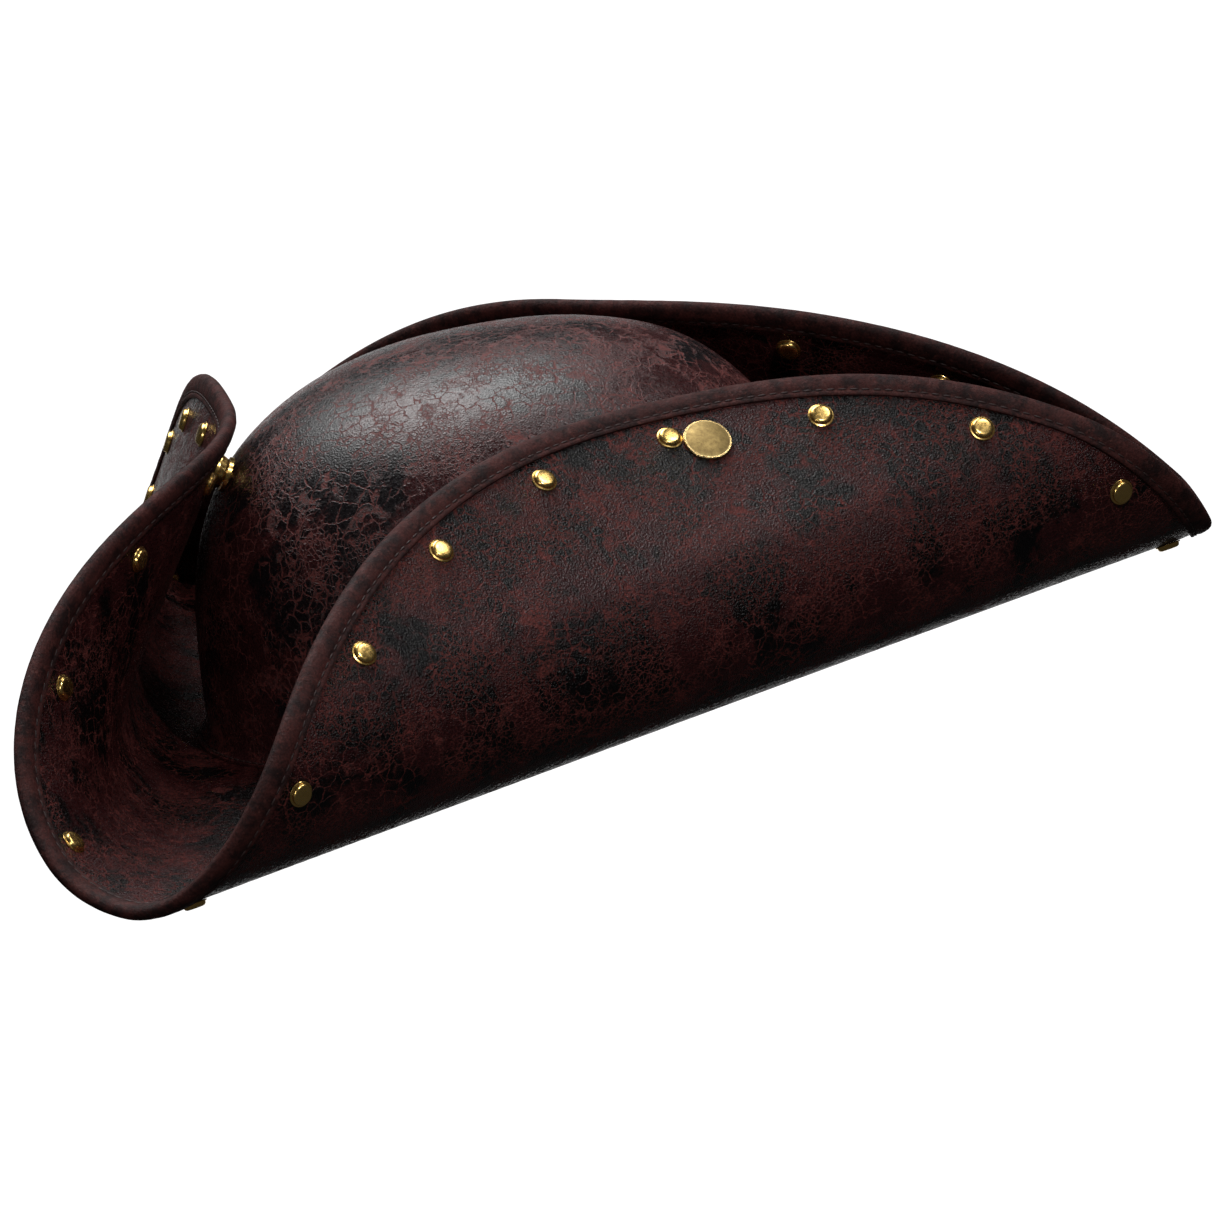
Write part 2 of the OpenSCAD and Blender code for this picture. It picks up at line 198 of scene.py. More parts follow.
def lift(flap, point):
    facing = polar(1, flap["dir"])
    along = point.dot(Vector((-facing.y, facing.x)))
    beyond = max(point.dot(facing) - flap["start"], 0)
    angle = fold_angle(flap, along)
    bend_r = flap["roll"] / angle
    turned = angle * min(beyond, flap["roll"]) / flap["roll"]
    past = max(beyond - flap["roll"], 0)
    out = bend_r * math.sin(turned) + past * math.cos(angle) - beyond
    up = bend_r * (1 - math.cos(turned)) + past * math.sin(angle)
    return Vector((facing.x * out, facing.y * out, up))


def folded(point):
    base = Vector((point.x - BRIM_BACK, point.y, BRIM_T / 2))
    for flap in FLAPS:
        base += lift(flap, point)
    return base


def upper_normal(point):
    step = 0.5 * MM
    across = folded(point + Vector((step, 0))) - folded(point - Vector((step, 0)))
    onward = folded(point + Vector((0, step))) - folded(point - Vector((0, step)))
    return across.cross(onward).normalized()


def brim_frame(radius, degrees):
    """Place on the brim, direction towards its edge, and the upper face's normal."""
    step = 2 * MM
    point = polar(radius, degrees)
    normal = upper_normal(point)
    edgeward = folded(polar(radius + step, degrees)) - folded(polar(radius - step, degrees))
    edgeward -= normal * edgeward.dot(normal)
    return folded(point), edgeward.normalized(), normal


print("near flap's middle", [round(c, 3) for c in folded(polar(BRIM_R, -60))])

# %% [markdown]
# ## Modelling helpers
# Operators act on whatever is selected, so each helper starts from a clean selection. A hat is mostly
# round things, and they could be drawn as curves, but a mesh drawn out by hand keeps even faces, and
# the folds need those. `turned` makes round pieces as on a lathe: a circle is drawn out ring by ring.
# `swept_sector` spins a flat cross-section round the brim's centre, which gives a closed strip that
# is ready to be folded.

# %% Helpers
MERGE_WITHIN = 0.00001
POLE_R = 0.000002


def only(piece):
    bpy.ops.object.select_all(action="DESELECT")
    piece.select_set(True)
    bpy.context.view_layer.objects.active = piece


def edit(piece):
    only(piece)
    bpy.ops.object.mode_set(mode="EDIT")
    bpy.ops.mesh.select_all(action="SELECT")


def done(piece):
    bpy.ops.object.mode_set(mode="OBJECT")
    return piece


def outward(piece):
    edit(piece)
    bpy.ops.mesh.remove_doubles(threshold=MERGE_WITHIN)
    bpy.ops.mesh.normals_make_consistent(inside=False)
    return done(piece)


def modify(piece, kind, **settings):
    only(piece)
    bpy.ops.object.modifier_add(type=kind)
    modifier = piece.modifiers[-1]
    for key, value in settings.items():
        setattr(modifier, key, value)
    bpy.ops.object.modifier_apply(modifier=modifier.name)


def smooth(piece, degrees=40):
    only(piece)
    bpy.ops.object.shade_smooth_by_angle(angle=math.radians(degrees))


def turned(name, profile, sides):
    """A round piece from (radius, height) rings; a radius of 0 closes an end."""
    bpy.ops.object.select_all(action="DESELECT")
    rings = [(max(r, POLE_R), z) for r, z in profile]
    radius, height = rings[0]
    bpy.ops.mesh.primitive_circle_add(vertices=sides, radius=radius, location=(0, 0, height))
    piece = bpy.context.active_object
    piece.name = name
    bpy.ops.object.transform_apply(location=True)
    edit(piece)
    for r, z in rings[1:]:
        bpy.ops.mesh.extrude_edges_move(TRANSFORM_OT_translate={"value": (0, 0, z - height)})
        bpy.ops.transform.resize(value=(r / radius, r / radius, 1), center_override=(0, 0, z))
        radius, height = r, z
    done(piece)
    return outward(piece)


def swept_sector(name, outline, start, end, step):
    """A flat cross-section of (radius, height) points spun about the brim's centre."""
    bpy.ops.object.select_all(action="DESELECT")
    bpy.ops.mesh.primitive_circle_add(vertices=len(outline), radius=1, fill_type="NGON")
    piece = bpy.context.active_object
    piece.name = name
    for vertex, (r, z) in zip(piece.data.vertices, outline):
        flat = polar(r, end)
        vertex.co = (flat.x, flat.y, z)
    edit(piece)
    bpy.ops.mesh.spin(steps=round((end - start) / step), angle=math.radians(end - start),
                      center=(0, 0, 0), axis=(0, 0, 1))
    done(piece)
    return outward(piece)


def fold_piece(piece, frame_radius=None):
    """Folds a flat piece. With frame_radius it keeps its cross-section square to the brim there."""
    for vertex in piece.data.vertices:
        x, y, z = vertex.co
        if frame_radius is None:
            flat = Vector((x, y))
            vertex.co = folded(flat) + upper_normal(flat) * z
        else:
            middle, edgeward, normal = brim_frame(frame_radius, math.degrees(math.atan2(y, x)))
            vertex.co = middle + edgeward * (math.hypot(x, y) - frame_radius) + normal * z
    piece.data.update()


print("helpers ready")

# %% [markdown]
# ## Baking a flap's pieces
# When a press stud is undone its flap swings outwards, and the leather bends along the fold line. A
# rigid split there would tear open. Such pieces would need a blend between the crown and the flap, but
# follow_flap only bakes each piece's transform into its mesh; it doesn't blend or attach the piece.


def follow_flap(piece):
    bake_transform(piece)


# %% [markdown]
# ## A bench for materials
# Each finish of the hat is a tree of nodes. Such a tree can be wired by hand in the shader editor,
# which shows it well but is slow to repeat. The leathers, metals and cloths here use the same few
# steps, so a small class gives each step a short name: noise, cells, a ramp, a mix and a finish.

# %% Material bench
class Bench:
    """A material's node tree with short calls for adding and joining nodes."""

    def __init__(self, name):
        self.material = bpy.data.materials.new(name)
        self.material.use_nodes = True
        self.tree = self.material.node_tree
        self.shader = self.tree.nodes["Principled BSDF"]
        self.place = self.tree.nodes.new("ShaderNodeTexCoord").outputs["Object"]

    def join(self, source, socket):
        if hasattr(source, "is_output"):
            self.tree.links.new(source, socket)
        else:
            socket.default_value = source

    def math(self, operation, a, b=0.0, c=0.0):
        node = self.tree.nodes.new("ShaderNodeMath")
        node.operation = operation
        for value, socket in zip((a, b, c), node.inputs):
            self.join(value, socket)
        return node.outputs[0]

    def noise(self, scale, detail=4, roughness=0.55, distortion=0.0, place=None):
        node = self.tree.nodes.new("ShaderNodeTexNoise")
        self.join(self.place if place is None else place, node.inputs["Vector"])
        for key, value in (("Scale", scale), ("Detail", detail), ("Roughness", roughness),
                           ("Distortion", distortion)):
            node.inputs[key].default_value = value
        return node.outputs[0]

    def cells(self, scale, feature="F1", place=None):
        node = self.tree.nodes.new("ShaderNodeTexVoronoi")
        node.feature = feature
        self.join(self.place if place is None else place, node.inputs["Vector"])
        node.inputs["Scale"].default_value = scale
        return node.outputs["Distance"]

    def warped(self, scale, amount):
        """The place pushed about by noise, so that cracks wander."""
        node = self.tree.nodes.new("ShaderNodeTexNoise")
        self.join(self.place, node.inputs["Vector"])
        node.inputs["Scale"].default_value = scale
        node.inputs["Detail"].default_value = 3
        add = self.tree.nodes.new("ShaderNodeVectorMath")
        add.operation = "MULTIPLY_ADD"
        self.join(node.outputs["Color"], add.inputs[0])
        add.inputs[1].default_value = (amount, amount, amount)
        self.join(self.place, add.inputs[2])
        return add.outputs[0]

    def ramp(self, value, low, high, at_low=0.0, at_high=1.0):
        node = self.tree.nodes.new("ShaderNodeMapRange")
        node.interpolation_type = "SMOOTHSTEP"
        for entry, socket in zip((value, low, high, at_low, at_high), node.inputs):
            self.join(entry, socket)
        return node.outputs[0]

    def mix(self, share, a, b):
        node = self.tree.nodes.new("ShaderNodeMix")
        node.data_type = "RGBA"
        self.join(share, node.inputs["Factor"])
        for entry, socket in ((a, node.inputs["A"]), (b, node.inputs["B"])):
            target = [s for s in node.inputs if s.type == "RGBA" and s.name == socket.name][0]
            self.join((*entry, 1) if isinstance(entry, tuple) else entry, target)
        return [s for s in node.outputs if s.type == "RGBA"][0]

    def scaled(self, color, factor):
        node = self.tree.nodes.new("ShaderNodeVectorMath")
        node.operation = "SCALE"
        self.join(color, node.inputs[0])
        self.join(factor, node.inputs["Scale"])
        return node.outputs[0]

    def finish(self, color, roughness, height=None, depth=0.0003, **plain):
        tone = (*color, 1) if isinstance(color, tuple) else color
        self.join(tone, self.shader.inputs["Base Color"])
        self.join(roughness, self.shader.inputs["Roughness"])
        if height is not None:
            bump = self.tree.nodes.new("ShaderNodeBump")
            bump.inputs["Strength"].default_value = 1
            bump.inputs["Distance"].default_value = depth
            self.join(height, bump.inputs["Height"])
            self.join(bump.outputs[0], self.shader.inputs["Normal"])
        for key, value in plain.items():
            self.shader.inputs[key.replace("_", " ")].default_value = value
        return self.material


print("bench ready")

# %% [markdown]
# ## The cracked leather
# Bonded leather like this has a dark glossy coat over a red-brown base. The coat has cracked and
# rubbed away in veins and ragged patches, and what shows through is matt. A painted texture would
# need seams in the dome and the brim, so the pattern is made by nodes instead. One mask of the open
# cracks drives the colour, the roughness and the bump, so each crack is redder, duller and deeper
# all at once. Patterns read Object coordinates, so they run on from one piece to the next.

# %% Cracked leather
CRACK_DULLS = 0.45
CRACK_SINKS = 0.3


def cracked_leather(name, coat, black, bare, crack_size, wear, gloss, grain, sheen):
    b = Bench(name)
    blotch = b.ramp(b.noise(30, 8, 0.66, 0.4), 0.47, 0.53)
    wander = b.warped(1 / (crack_size * 1.1), crack_size * 1.1)
    wide = b.ramp(b.cells(1 / crack_size, "DISTANCE_TO_EDGE", wander), 0.0, 0.06, 1, 0)
    fine = b.ramp(b.cells(2.7 / crack_size, "DISTANCE_TO_EDGE", wander), 0.0, 0.10, 1, 0)
    here = b.ramp(b.noise(48, 6, 0.65), 0.45, 0.58)
    rubbed = b.ramp(b.noise(90, 10, 0.75, 0.6), 0.60 - wear, 0.69 - wear)
    veins = b.math("MAXIMUM", b.math("MULTIPLY", wide, b.ramp(b.noise(75, 5, 0.65), 0.42, 0.52)),
                   b.math("MULTIPLY", fine, here))
    open_base = b.math("MINIMUM", b.math("ADD", veins, b.math("MULTIPLY", rubbed, 0.8)), 1.0)
    speck = b.ramp(b.noise(1400, 3, 0.7), 0.3, 0.7, 0.5, 1.5)
    color = b.mix(open_base, b.mix(blotch, coat, black), bare)
    dulled = b.math("ADD", b.math("MULTIPLY", open_base, CRACK_DULLS), gloss)
    roughness = b.math("ADD", dulled, b.ramp(b.noise(900, 4), 0.3, 0.7, -0.09, 0.09))
    pebble = b.math("ADD", b.math("MULTIPLY", b.cells(1700), grain),
                    b.math("MULTIPLY", b.noise(1100, 4, 0.65), grain * 0.8))
    height = b.math("SUBTRACT", pebble, b.math("MULTIPLY", open_base, CRACK_SINKS))
    return b.finish(b.scaled(color, speck), roughness, height, Specular_IOR_Level=sheen)


BRIM_LEATHER = cracked_leather(
    "brim_leather", coat=(0.032, 0.0062, 0.0068), black=(0.0015, 0.0010, 0.0013),
    bare=(0.120, 0.024, 0.020), crack_size=4.2 * MM, wear=0.035, gloss=0.30, grain=1.0, sheen=0.26)
CROWN_LEATHER = cracked_leather(
    "crown_leather", coat=(0.034, 0.0085, 0.0090), black=(0.0060, 0.0040, 0.0050),
    bare=(0.125, 0.024, 0.020), crack_size=4.8 * MM, wear=0.04, gloss=0.28, grain=0.34, sheen=0.5)
print("leathers", BRIM_LEATHER.name, CROWN_LEATHER.name)

# %% [markdown]
# ## The binding's leather
# The strip round the edge is thinner, softer hide than the brim: brown, matt and mottled, with short
# creases where it was pulled round the curve. It doesn't flake, so it needs no cracks. Two layers of
# noise, one for the mottle and one for the pale creases, are enough.

# %% Binding leather
def binding_leather():
    b = Bench("binding_leather")
    mottle = b.ramp(b.noise(160, 7, 0.7), 0.40, 0.62)
    color = b.mix(mottle, (0.060, 0.0150, 0.0130), (0.0150, 0.0045, 0.0045))
    crease = b.ramp(b.noise(420, 6, 0.7, 0.5), 0.56, 0.66)
    color = b.mix(b.math("MULTIPLY", crease, 0.5), color, (0.120, 0.038, 0.031))
    return b.finish(b.scaled(color, b.ramp(b.noise(1500, 2), 0.3, 0.7, 0.7, 1.3)),
                    b.ramp(b.noise(300, 4), 0.3, 0.7, 0.58, 0.74), b.noise(1100, 5, 0.65), 0.0004,
                    Specular_IOR_Level=0.22)


BINDING_LEATHER = binding_leather()
print("binding's leather", BINDING_LEATHER.name)

# %% [markdown]
# ## The metals
# The rivets are bright gold plate with faint handling marks. The press-stud caps are matt antique
# brass, worn bright on the rim. Nodes could find the rim by its height, but the caps are tilted every
# way, so the rim's points carry an attribute instead. Where it is 1 the brass is brighter and smoother.

# %% Metals
def gold_plate():
    b = Bench("gold_plate")
    marks = b.ramp(b.noise(900, 5, 0.7), 0.35, 0.75, 0.20, 0.36)
    tone = b.mix(b.noise(300, 3), (1.0, 0.70, 0.25), (0.94, 0.58, 0.16))
    return b.finish(tone, marks, b.noise(1500, 3), 0.00002, Metallic=1.0)


def antique_brass():
    b = Bench("antique_brass")
    rim = b.tree.nodes.new("ShaderNodeAttribute")
    rim.attribute_name = "rim"
    bright = rim.outputs["Fac"]
    stain = b.noise(700, 5, 0.7)
    dull = b.mix(b.ramp(stain, 0.3, 0.7), (0.46, 0.33, 0.13), (0.30, 0.21, 0.085))
    rough = b.math("MULTIPLY_ADD", bright, -0.30, b.ramp(stain, 0.3, 0.7, 0.44, 0.58))
    return b.finish(b.mix(bright, dull, (0.86, 0.62, 0.28)), rough, b.noise(2600, 3), 0.00012,
                    Metallic=1.0)


GOLD = gold_plate()
ANTIQUE = antique_brass()
print("metals", GOLD.name, ANTIQUE.name)

# %% [markdown]
# ## Thread, cloth and the sweatband's leather
# The thread is dark and waxed. The lining is a plain black weave, and its threads have to follow the
# cloth over the dome, so its pattern reads the piece's own UV map, which is in metres. The sweatband
# is smooth dark leather with a fine grain. It shows little, so simple noise is enough.

# %% Thread and cloth
def thread():
    b = Bench("waxed_thread")
    return b.finish(b.mix(b.noise(800, 3), (0.040, 0.014, 0.012), (0.018, 0.008, 0.008)),
                    b.ramp(b.noise(500, 3), 0.3, 0.7, 0.5, 0.7), b.noise(2500, 2), 0.0001)


def woven_cloth(name, light, dark, threads):
    b = Bench(name)
    uv = b.tree.nodes.new("ShaderNodeUVMap")
    uv.uv_map = "weave"
    b.place = uv.outputs[0]
    split = b.tree.nodes.new("ShaderNodeSeparateXYZ")
    b.join(b.place, split.inputs[0])
    across = b.math("SINE", b.math("MULTIPLY", split.outputs[0], threads))
    along = b.math("SINE", b.math("MULTIPLY", split.outputs[1], threads))
    weave = b.math("MULTIPLY_ADD", b.math("MULTIPLY", across, along), 0.5, 0.5)
    height = b.math("ADD", weave, b.math("MULTIPLY", b.noise(60, 4), 0.6))
    return b.finish(b.mix(weave, dark, light), b.ramp(weave, 0, 1, 0.95, 0.8), height, 0.00025)


def band_leather():
    b = Bench("sweatband_leather")
    return b.finish(b.mix(b.noise(90, 5), (0.030, 0.018, 0.015), (0.016, 0.010, 0.009)),
                    b.ramp(b.noise(300, 4), 0.3, 0.7, 0.42, 0.6), b.cells(900), 0.0002)


THREAD = thread()
LINING = woven_cloth("lining_cloth", light=(0.030, 0.026, 0.028), dark=(0.010, 0.009, 0.010),
                     threads=5200)
BAND_LEATHER = band_leather()


def dress(piece, material):
    piece.data.materials.clear()
    piece.data.materials.append(material)


print("soft finishes", THREAD.name, LINING.name, BAND_LEATHER.name)

# %% [markdown]
# ## The brim
# On the real hat the brim is one sheet. One mesh couldn't follow three hinges, as a piece can blend
# between two bodies only. So it is made in three sectors, one to each flap, which meet along the
# middle of the three corner gutters; the sectors themselves are not blended to any body. Each sector
# is spun flat as a closed strip, its inner rings are drawn to the oval head opening, and then it is
# folded. The sheet ends a little short of the rim, to leave room for the wire inside the binding.

# %% Brim sectors
SHEET_R = BRIM_R - 4.2 * MM
OPENING_INSET = 3.8 * MM
OPENING_L = CROWN_L - OPENING_INSET
OPENING_W = CROWN_W - OPENING_INSET
FLAT_HOLE = 80 * MM
BRIM_RINGS = 38
BRIM_STEP = 1


def opening_radius(degrees):
    """Distance from the brim's centre to the oval head opening."""
    across = Vector((polar(1, degrees).x / OPENING_L, polar(1, degrees).y / OPENING_W))
    shift = BRIM_BACK / OPENING_L
    lean = -across.x * shift
    size = across.dot(across)
    return (-lean + math.sqrt(lean * lean - size * (shift * shift - 1))) / size


def fit_opening(piece):
    for vertex in piece.data.vertices:
        x, y, z = vertex.co
        degrees = math.degrees(math.atan2(y, x))
        share = (math.hypot(x, y) - FLAT_HOLE) / (SHEET_R - FLAT_HOLE)
        inner = opening_radius(degrees)
        flat = polar(inner + share * (SHEET_R - inner), degrees)
        vertex.co = (flat.x, flat.y, z)


def upper_area(piece):
    return sum(face.area for face in piece.data.polygons if face.normal.z > 0.5)


def brim_sector(flap):
    radii = [FLAT_HOLE + (SHEET_R - FLAT_HOLE) * i / BRIM_RINGS for i in range(BRIM_RINGS + 1)]
    outline = [(r, BRIM_T / 2) for r in radii] + [(r, -BRIM_T / 2) for r in reversed(radii)]
    piece = swept_sector(flap["name"] + "_brim", outline, *flap["corners"], BRIM_STEP)
    fit_opening(piece)
    piece.data.update()
    area = upper_area(piece)
    fold_piece(piece)
    smooth(piece)
    dress(piece, BRIM_LEATHER)
    follow_flap(piece)
    return piece, area


brim_sheets = [brim_sector(flap) for flap in FLAPS]
for (piece, area), flap in zip(brim_sheets, FLAPS):
    print(piece.name, "flat area", round(area, 4), "faces", len(piece.data.polygons))

# %% [markdown]
# ## The edge binding
# A strip of softer leather is folded over the brim's edge, round a wire, and stitched down on both
# faces. A curve with a bevel could run round the rim, but it would twist in the corners. So its
# cross-section is drawn as one outline, in millimetres from the strip's middle line: a thick rounded
# nose, a shallow groove under the stitches and a thin tucked edge. It is spun flat like the brim and
# folded square to it. Fine puckers are pressed in, as gathering a straight strip round a curve makes.

# %% Binding
EDGE_R = BRIM_R - 4 * MM
BINDING_FACE = [(-4.0, 1.3), (-3.9, 1.85), (-3.4, 2.1), (-2.7, 2.0), (-2.2, 1.8), (-1.7, 2.0),
                (-0.8, 2.3), (0.6, 2.3), (2.0, 2.15), (3.1, 1.65), (3.75, 0.85)]
BINDING_INSIDE = [(-4.0, -1.22), (1.4, -1.22), (2.3, 0), (1.4, 1.22), (-4.0, 1.22)]
BINDING_STEP = 0.5
PUCKER = 0.12 * MM
OUTER_SKIN = 1.5 * MM


def binding_outline():
    face = [(EDGE_R + e * MM, h * MM) for e, h in BINDING_FACE]
    under = [(r, -h) for r, h in reversed(face)]
    inside = [(EDGE_R + e * MM, h * MM) for e, h in BINDING_INSIDE]
    return face + [(BRIM_R, 0)] + under + inside


def pucker(piece):
    for vertex in piece.data.vertices:
        x, y, z = vertex.co
        if abs(z) > OUTER_SKIN:
            fine = noise.noise(Vector((x, y, z * 3)) * 260)
            broad = noise.noise(Vector((x, y, z)) * 90)
            vertex.co.z = z + math.copysign(PUCKER * (fine + 0.6 * broad), z)


def edge_binding(flap):
    piece = swept_sector(flap["name"] + "_binding", binding_outline(), *flap["corners"],
                         BINDING_STEP)
    pucker(piece)
    fold_piece(piece, EDGE_R)
    smooth(piece, 50)
    dress(piece, BINDING_LEATHER)
    follow_flap(piece)
    return piece


bindings = [edge_binding(flap) for flap in FLAPS]
print("bindings", [len(piece.data.polygons) for piece in bindings])

# %% [markdown]
# ## Stitches
# One stitch is a short bead of thread with its ends tucked down. An array along a curve would space
# the stitches, but it wouldn't lay them square to the folded leather. So one is turned and copied
# along the groove on both faces, at an even pitch, and each run is joined into one piece.

# %% Stitches
STITCH_R = BRIM_R - 6.2 * MM
STITCH_PITCH = 3.4 * MM
STITCH_LIFT = 1.9 * MM
stitch_profile = [(0, -1.35 * MM), (0.22 * MM, -1.1 * MM), (0.34 * MM, -0.5 * MM),
                  (0.34 * MM, 0.5 * MM), (0.22 * MM, 1.1 * MM), (0, 1.35 * MM)]
stitch = turned("stitch", stitch_profile, 6)


def copied(name, master, places):
    """Copies of master, one at each matrix, joined into one piece at the origin."""
    bpy.ops.object.select_all(action="DESELECT")
    for place in places:
        copy = bpy.data.objects.new(name, master.data.copy())
        copy.data.transform(place)
        bpy.context.scene.collection.objects.link(copy)
        copy.select_set(True)
        bpy.context.view_layer.objects.active = copy
    if len(places) > 1:
        bpy.ops.object.join()
    piece = bpy.context.active_object
    piece.name = name
    return piece


def discard(*pieces):
    bpy.ops.object.select_all(action="DESELECT")
    for piece in pieces:
        piece.select_set(True)
    bpy.ops.object.delete()


def stitch_place(degrees, face):
    middle, edgeward, normal = brim_frame(STITCH_R, degrees)
    along = normal.cross(edgeward)
    turn = Matrix((edgeward, normal * face, along * -face)).transposed().to_4x4()
    return Matrix.Translation(middle + normal * face * STITCH_LIFT) @ turn


def stitch_run(flap):
    start, end = flap["corners"]
    count = int(math.radians(end - start) * STITCH_R / STITCH_PITCH)
    spots = [start + (end - start) * (i + 0.5) / count for i in range(count)]
    places = [stitch_place(degrees, face) for degrees in spots for face in (1, -1)]
    piece = copied(flap["name"] + "_stitches", stitch, places)
    smooth(piece, 60)
    dress(piece, THREAD)
    follow_flap(piece)
    return piece


stitches = [stitch_run(flap) for flap in FLAPS]
discard(stitch)
print("stitches", [len(run.data.polygons) for run in stitches])

# %% [markdown]
# ## The crown
# The crown is one seamless dome, moulded over a block. A squashed sphere would have the wrong
# shoulder, as this dome has steep sides and a broad flat top. So it is drawn up ring by ring from the
# head line, closed at the top and pressed to its oval. Slight dents keep it from looking machined.
# Its foot turns out into a small flange that is stitched to the brim.

# %% Crown
CROWN_TAPER = 0.09
CROWN_SIDE_POWER = 3.8
CROWN_TOP_POWER = 2.5
CROWN_RINGS = 46
CROWN_SIDES = 160
CROWN_SKIN = 1.4 * MM
RING_CROWDING = 1.15
FLANGE = 3.2 * MM
DENT = 0.7 * MM
DENT_FADE = 20 * MM


def dome_section(share):
    return (1 - CROWN_TAPER * share) * (1 - share ** CROWN_SIDE_POWER) ** (1 / CROWN_TOP_POWER)


def dome_profile(inset, rings):
    """Rings from the brim to the top; they crowd together where the dome turns over."""
    profile = []
    for i in range(rings + 1):
        share = math.sin(math.pi / 2 * i / rings) ** RING_CROWDING
        profile.append(((CROWN_L - inset) * dome_section(share),
                        CROWN_LOW.z + (CROWN_H - inset) * share))
    return profile


def press_oval(piece, inset):
    share = (CROWN_W - inset) / (CROWN_L - inset)
    only(piece)
    bpy.ops.transform.resize(value=(1, share, 1), center_override=(0, 0, 0))
    bpy.ops.object.transform_apply(scale=True)


def dent(piece, depth):
    for vertex in piece.data.vertices:
        fade = min((vertex.co.z - CROWN_LOW.z) / DENT_FADE, 1)
        push = noise.noise(vertex.co * 16) + 0.4 * noise.noise(vertex.co * 45)
        vertex.co += vertex.normal * depth * push * fade


foot = [(CROWN_L + FLANGE, CROWN_LOW.z + 0.1 * MM), (CROWN_L + FLANGE, CROWN_LOW.z + 0.9 * MM),
        (CROWN_L + 1.2 * MM, CROWN_LOW.z + 1.2 * MM), (CROWN_L + 0.3 * MM, CROWN_LOW.z + 2.2 * MM)]
wall = [(r, z) for r, z in dome_profile(0, CROWN_RINGS) if z > CROWN_LOW.z + 3 * MM]
crown = turned("crown_dome", foot + wall, CROWN_SIDES)
press_oval(crown, 0)
dent(crown, DENT)
modify(crown, "SOLIDIFY", thickness=CROWN_SKIN, offset=-1)
smooth(crown, 60)
dress(crown, CROWN_LEATHER)
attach(crown, ROOT)
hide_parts("crown_shell")
print("crown faces", len(crown.data.polygons))

# %% [markdown]
# ## The crown's stitches
# The flange is held by one row of stitches, laid on it round the crown's foot. They are the same
# beads of thread as on the brim, at nearly the same pitch, and each lies along the oval.

# %% Crown stitches
FOOT_STITCH_OUT = 2.2 * MM
FOOT_STITCH_Z = CROWN_LOW.z + 1.25 * MM
crown_stitch = turned("crown_stitch", stitch_profile, 6)
stitch_ring = []
ring_count = int(math.pi * (CROWN_L + CROWN_W) / STITCH_PITCH)
for i in range(ring_count):
    turn = math.radians(360 * i / ring_count)
    spot = Vector(((CROWN_L + FOOT_STITCH_OUT) * math.cos(turn),
                   (CROWN_W + FOOT_STITCH_OUT) * math.sin(turn), FOOT_STITCH_Z))
    along = Vector((-spot.y * CROWN_L / CROWN_W, spot.x * CROWN_W / CROWN_L, 0)).normalized()
    lie = Matrix((along.cross(Vector((0, 0, 1))), Vector((0, 0, -1)), along)).transposed().to_4x4()
    stitch_ring.append(Matrix.Translation(spot) @ lie)
crown_thread = copied("crown_foot_stitches", crown_stitch, stitch_ring)
discard(crown_stitch)
smooth(crown_thread, 60)
dress(crown_thread, THREAD)
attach(crown_thread, ROOT)
print("crown stitches", ring_count)

# %% [markdown]
# ## The lining
# A black woven lining hangs inside the dome, gathered a little towards the top. Cloth simulation
# would hang it too, but it is held all round and nearly hidden, so a dome with shallow pleats gives
# the same look. Its weave follows the cloth, so it gets a UV map in metres: once round the head, and
# up the side.

# %% Lining
LINING_INSET = 3.0 * MM
LINING_T = 0.7 * MM
LINING_RINGS = 30
LINING_SIDES = 208
GATHERS = 26
GATHER_DEPTH = 0.9 * MM
GATHER_FROM = 0.45
GATHER_TO = 0.995
lining = turned("crown_cloth_lining", dome_profile(LINING_INSET, LINING_RINGS), LINING_SIDES)
press_oval(lining, LINING_INSET)
for vertex in lining.data.vertices:
    share = (vertex.co.z - CROWN_LOW.z) / CROWN_H
    turn = math.atan2(vertex.co.y, vertex.co.x)
    if GATHER_FROM < share < GATHER_TO:
        pleat = 1 + math.sin(GATHERS * turn)
        vertex.co -= vertex.normal * GATHER_DEPTH * (share - GATHER_FROM) * pleat
weave = lining.data.uv_layers.new(name="weave")
for face in lining.data.polygons:
    middle = math.atan2(face.center.y, face.center.x)
    for loop in face.loop_indices:
        spot = lining.data.vertices[lining.data.loops[loop].vertex_index].co
        turn = math.atan2(spot.y, spot.x)
        turn += round((middle - turn) / (2 * math.pi)) * 2 * math.pi
        weave.data[loop].uv = (turn * (CROWN_L + CROWN_W) / 2, spot.z + CROWN_L - spot.xy.length)
modify(lining, "SOLIDIFY", thickness=LINING_T, offset=-1)
smooth(lining, 60)
dress(lining, LINING)
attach(lining, ROOT)
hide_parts("crown_lining")

# %% [markdown]
# ## The sweatband
# Round the head opening runs a leather band with a rolled lower edge and a thin upper one. A plain
# tube with a bevel would lose the roll, so the band's closed cross-section is turned as on a lathe
# and then pressed to the oval.

# %% Sweatband
BAND_H = 32 * MM
BAND_INSET = 6.8 * MM
BAND_T = 1.3 * MM
BAND_FACES = 160
band_out = CROWN_L - BAND_INSET
band_in = band_out - BAND_T
band_soft = band_in - 0.3 * MM
band_profile = [(band_out - BAND_T * 1.8, 0.9 * MM), (band_in, 0.3 * MM),
                (band_out - 0.2 * MM, 0.5 * MM), (band_out, 1.6 * MM), (band_out, BAND_H),
                (band_out - 0.5 * MM, BAND_H + 0.35 * MM), (band_in, BAND_H),
                (band_in, BAND_H - 3 * MM), (band_soft, BAND_H - 4 * MM), (band_soft, BAND_H / 2),
                (band_soft, 5 * MM), (band_out - BAND_T * 1.9, 2.4 * MM),
                (band_out - BAND_T * 1.8, 0.9 * MM)]
band = turned("leather_sweatband", band_profile, BAND_FACES)
press_oval(band, BAND_INSET)
smooth(band, 50)
dress(band, BAND_LEATHER)
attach(band, ROOT)
